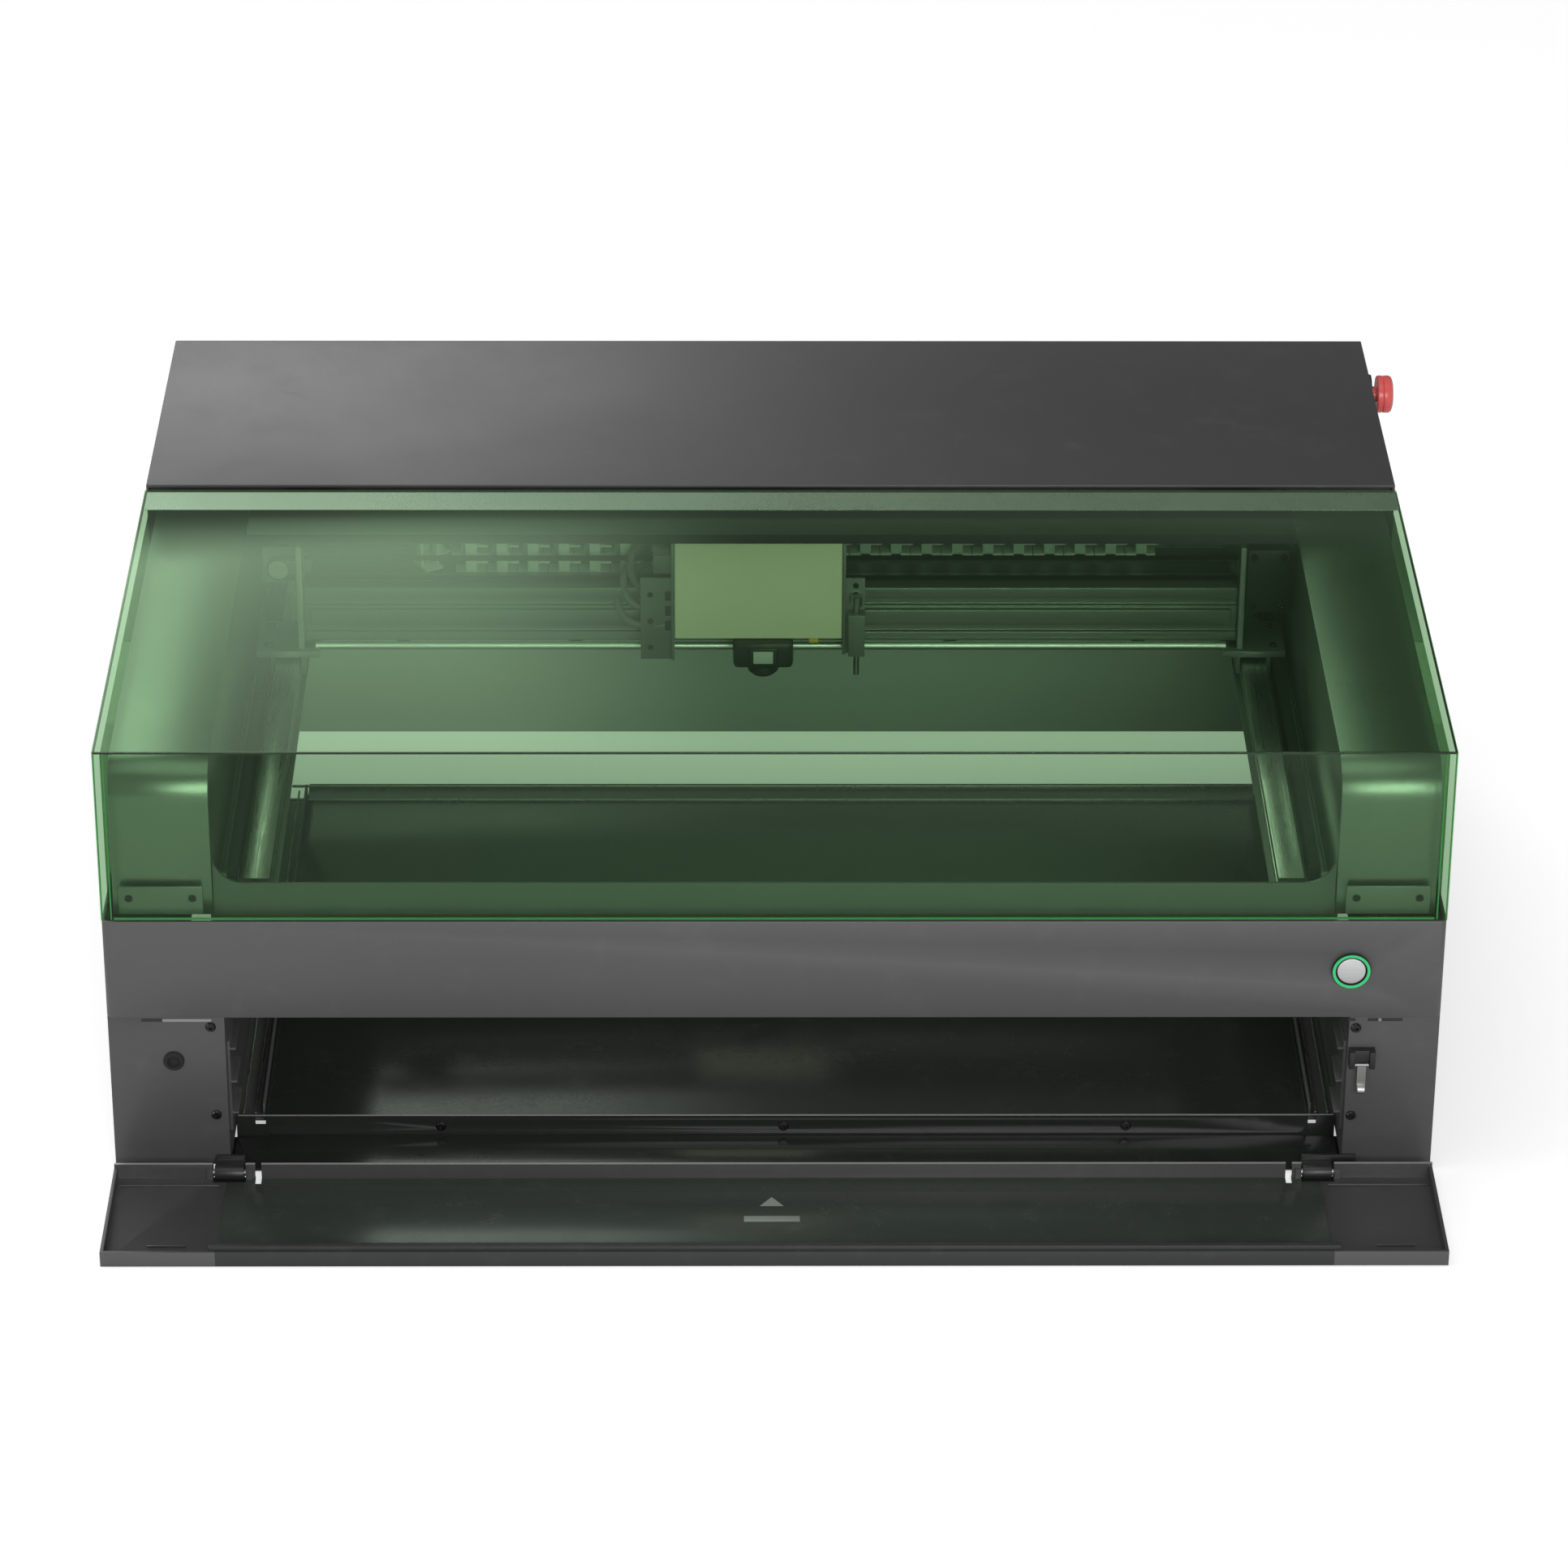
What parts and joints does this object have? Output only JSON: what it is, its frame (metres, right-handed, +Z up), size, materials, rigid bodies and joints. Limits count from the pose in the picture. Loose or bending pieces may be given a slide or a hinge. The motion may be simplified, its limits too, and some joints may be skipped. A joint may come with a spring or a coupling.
{
  "type": "desktop laser cutter",
  "caption": "Enclosed desktop laser cutter with a tinted hinged lid, a fold-down front flap, a moving gantry and a laser head.",
  "frame": {"origin": "centre of the bounding box in plan, on the table the machine stands on", "axes": "+X to the right seen from the front, +Y to the rear, +Z up"},
  "size_m": [0.7826, 0.67, 0.277],
  "materials": {
    "black_metal": "fine-textured satin powder coat",
    "dark_metal": "satin black paint",
    "steel": "brushed",
    "aluminium": "satin",
    "champagne_anodised": "satin anodised",
    "tinted_acrylic": "clear green, polished",
    "rubber": "matte",
    "dark_plastic": "fine moulded texture",
    "red_plastic": "satin moulded",
    "circuit_board": "solder mask"
  },
  "bodies": {
    "case": {"left_base_side": "black_metal", "right_base_side": "black_metal", "base_rear_panel": "black_metal", "front_fascia": "black_metal", "rear_cover": "black_metal", "hinge_rail": "black_metal", "floor_tray": "dark_metal", "front_inner_wall": "dark_metal", "left_chamber_wall": "dark_metal", "right_chamber_wall": "dark_metal", "left_housing": "dark_metal", "right_housing": "dark_metal", "rear_wall": "dark_metal", "power_supply": "steel", "power_button_bezel": "steel", "left_flap_hinge": "steel", "right_flap_hinge": "steel", "left_lid_pin": "steel", "right_lid_pin": "steel", "left_y_rail": "steel", "right_y_rail": "steel", "left_foot": "rubber", "right_foot": "rubber", "left_y_belt": "rubber", "right_y_belt": "rubber", "exhaust_fan_frame": "dark_plastic", "power_inlet": "dark_plastic", "estop_body": "dark_plastic", "interlock_switch": "dark_plastic", "y_motor": "dark_plastic", "control_board": "circuit_board"},
    "lid": {"lid_shell": "tinted_acrylic", "lid_stiffener": "dark_metal"},
    "flap": {"front_flap": "dark_metal", "flap_seal_bar": "black_metal", "left_flap_pin": "steel", "right_flap_pin": "steel"},
    "gantry": {"gantry_beam": "dark_metal", "left_gantry_carriage": "dark_metal", "right_gantry_carriage": "dark_metal", "x_motor": "dark_plastic", "x_belt": "rubber", "chain_tray": "dark_metal", "drag_chain": "dark_plastic"},
    "head": {"head_plate": "champagne_anodised", "head_carriage": "dark_metal", "module_cooler": "aluminium", "nozzle": "dark_metal", "head_cable": "rubber"},
    "probe": {"focus_probe": "steel"},
    "module_fan": {"module_rotor": "dark_plastic"},
    "exhaust_fan": {"exhaust_rotor": "dark_plastic"},
    "power_key": {"power_button": "steel"},
    "stop_key": {"estop_button": "red_plastic"},
    "switch_lever": {"interlock_lever": "steel"},
    "y_shaft": {"y_drive_shaft": "steel"},
    "left_idler": {"left_y_idler": "steel"},
    "right_idler": {"right_y_idler": "steel"},
    "x_drive": {"x_pulley": "steel"},
    "x_return": {"x_idler": "steel"}
  },
  "joints": [
    {"name": "lid_hinge", "type": "hinge", "parent": "case", "child": "lid", "pos_m": [-0.00875, 0.1045, 0.2686], "axis": [-1, 0, 0], "range_deg": [0, 75]},
    {"name": "flap_hinge", "type": "hinge", "parent": "case", "child": "flap", "pos_m": [-0.00875, -0.242, 0.005], "axis": [-1, 0, 0], "range_deg": [0, 90]},
    {"name": "gantry_y", "type": "slide", "parent": "case", "child": "gantry", "axis": [0, 1, 0], "range_m": [-0.25, 0.05]},
    {"name": "head_x", "type": "slide", "parent": "gantry", "child": "head", "axis": [1, 0, 0], "range_m": [-0.185, 0.225], "deforming": ["drag_chain"]},
    {"name": "focus_probe_slide", "type": "slide", "parent": "head", "child": "probe", "axis": [0, 0, -1], "range_m": [-0.006, 0.0045]},
    {"name": "module_fan_spin", "type": "hinge", "parent": "head", "child": "module_fan", "pos_m": [-0.01675, 0.0855, 0.257], "axis": [0, 0, 1], "continuous": true},
    {"name": "exhaust_fan_spin", "type": "hinge", "parent": "case", "child": "exhaust_fan", "pos_m": [0.22125, 0.319, 0.17], "axis": [0, 1, 0], "continuous": true},
    {"name": "power_button_press", "type": "slide", "parent": "case", "child": "power_key", "axis": [0, 1, 0], "range_m": [0, 0.0016], "stiffness_N_per_m": 600},
    {"name": "estop_press", "type": "slide", "parent": "case", "child": "stop_key", "axis": [-1, 0, 0], "range_m": [0, 0.0032], "stiffness_N_per_m": 1500},
    {"name": "interlock_press", "type": "hinge", "parent": "case", "child": "switch_lever", "pos_m": [0.32925, -0.2366, 0.074], "axis": [1, 0, 0], "range_deg": [0, 8], "stiffness_Nm_per_rad": 0.05},
    {"name": "y_shaft_spin", "type": "hinge", "parent": "case", "child": "y_shaft", "pos_m": [-0.00875, 0.23, 0.1715], "axis": [1, 0, 0], "continuous": true},
    {"name": "left_idler_spin", "type": "hinge", "parent": "case", "child": "left_idler", "pos_m": [-0.31975, -0.187, 0.1715], "axis": [1, 0, 0], "continuous": true},
    {"name": "right_idler_spin", "type": "hinge", "parent": "case", "child": "right_idler", "pos_m": [0.30225, -0.187, 0.1715], "axis": [1, 0, 0], "continuous": true},
    {"name": "x_pulley_spin", "type": "hinge", "parent": "gantry", "child": "x_drive", "pos_m": [0.29325, 0.095, 0.2297], "axis": [0, 1, 0], "continuous": true},
    {"name": "x_idler_spin", "type": "hinge", "parent": "gantry", "child": "x_return", "pos_m": [-0.31075, 0.095, 0.2297], "axis": [0, 1, 0], "continuous": true}
  ],
  "couplings": [
    {"joint": "y_shaft_spin", "follows": "gantry_y", "rad_per_m": -147.06},
    {"joint": "left_idler_spin", "follows": "gantry_y", "rad_per_m": -147.06},
    {"joint": "right_idler_spin", "follows": "gantry_y", "rad_per_m": -147.06},
    {"joint": "x_pulley_spin", "follows": "head_x", "rad_per_m": 147.06},
    {"joint": "x_idler_spin", "follows": "head_x", "rad_per_m": 147.06}
  ]
}
